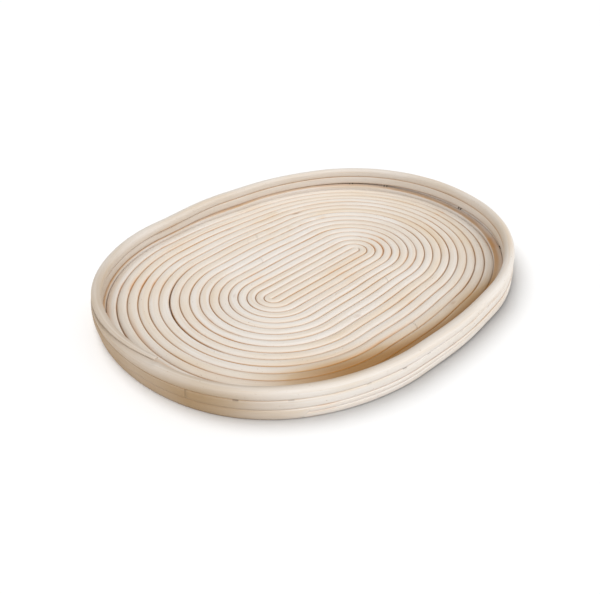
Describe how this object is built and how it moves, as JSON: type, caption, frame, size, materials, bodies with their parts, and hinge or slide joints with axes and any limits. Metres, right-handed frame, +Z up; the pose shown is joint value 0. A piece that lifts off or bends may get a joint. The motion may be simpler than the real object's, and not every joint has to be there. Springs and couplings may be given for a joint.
{
  "type": "banneton basket",
  "caption": "Low, wide oval proofing basket wound from peeled rattan cane, with a flat coiled floor and a short stacked wall held by staples.",
  "frame": {"origin": "middle of the basket's footprint, on the surface it stands on", "axes": "+X along the oval's long axis, +Y across it, +Z up out of the basket"},
  "size_m": [0.4524, 0.3564, 0.0331],
  "materials": {
    "floor_cane": "bare peeled rattan, dry and matt",
    "wall_cane": "bare peeled rattan, dry and matt",
    "staple_wire": "galvanised staple wire"
  },
  "bodies": {
    "root": {"bottom_turn_cane_1": "wall_cane", "bottom_turn_cane_2": "wall_cane", "floor_cane_1_core": "floor_cane", "floor_cane_2": "floor_cane", "floor_cane_3": "floor_cane", "floor_cane_4": "floor_cane", "floor_cane_5": "floor_cane", "floor_staple_01": "staple_wire", "floor_staple_02": "staple_wire", "floor_staple_03": "staple_wire", "floor_staple_04": "staple_wire", "floor_staple_05": "staple_wire", "floor_staple_06": "staple_wire", "floor_staple_07": "staple_wire", "floor_staple_08": "staple_wire", "rim_cane": "wall_cane", "rim_staple_01": "staple_wire", "rim_staple_02": "staple_wire", "rim_staple_03": "staple_wire", "rim_staple_04": "staple_wire", "rim_staple_05": "staple_wire", "rim_staple_06": "staple_wire", "rim_staple_07": "staple_wire", "rim_staple_08": "staple_wire", "rim_staple_09": "staple_wire", "rim_staple_10": "staple_wire", "rim_staple_11": "staple_wire", "second_turn_cane": "wall_cane", "wall_staple_01": "staple_wire", "wall_staple_02": "staple_wire", "wall_staple_03": "staple_wire", "wall_staple_04": "staple_wire", "wall_staple_05": "staple_wire", "wall_staple_06": "staple_wire", "wall_staple_07": "staple_wire", "wall_staple_08": "staple_wire", "wall_staple_09": "staple_wire", "wall_staple_10": "staple_wire", "wall_staple_11": "staple_wire", "wall_staple_12": "staple_wire", "wall_staple_13": "staple_wire", "wall_staple_14": "staple_wire", "wall_staple_15": "staple_wire", "wall_staple_16": "staple_wire", "wall_staple_17": "staple_wire", "wall_staple_18": "staple_wire", "wall_staple_19": "staple_wire", "wall_staple_20": "staple_wire", "wall_staple_21": "staple_wire"}
  },
  "joints": []
}
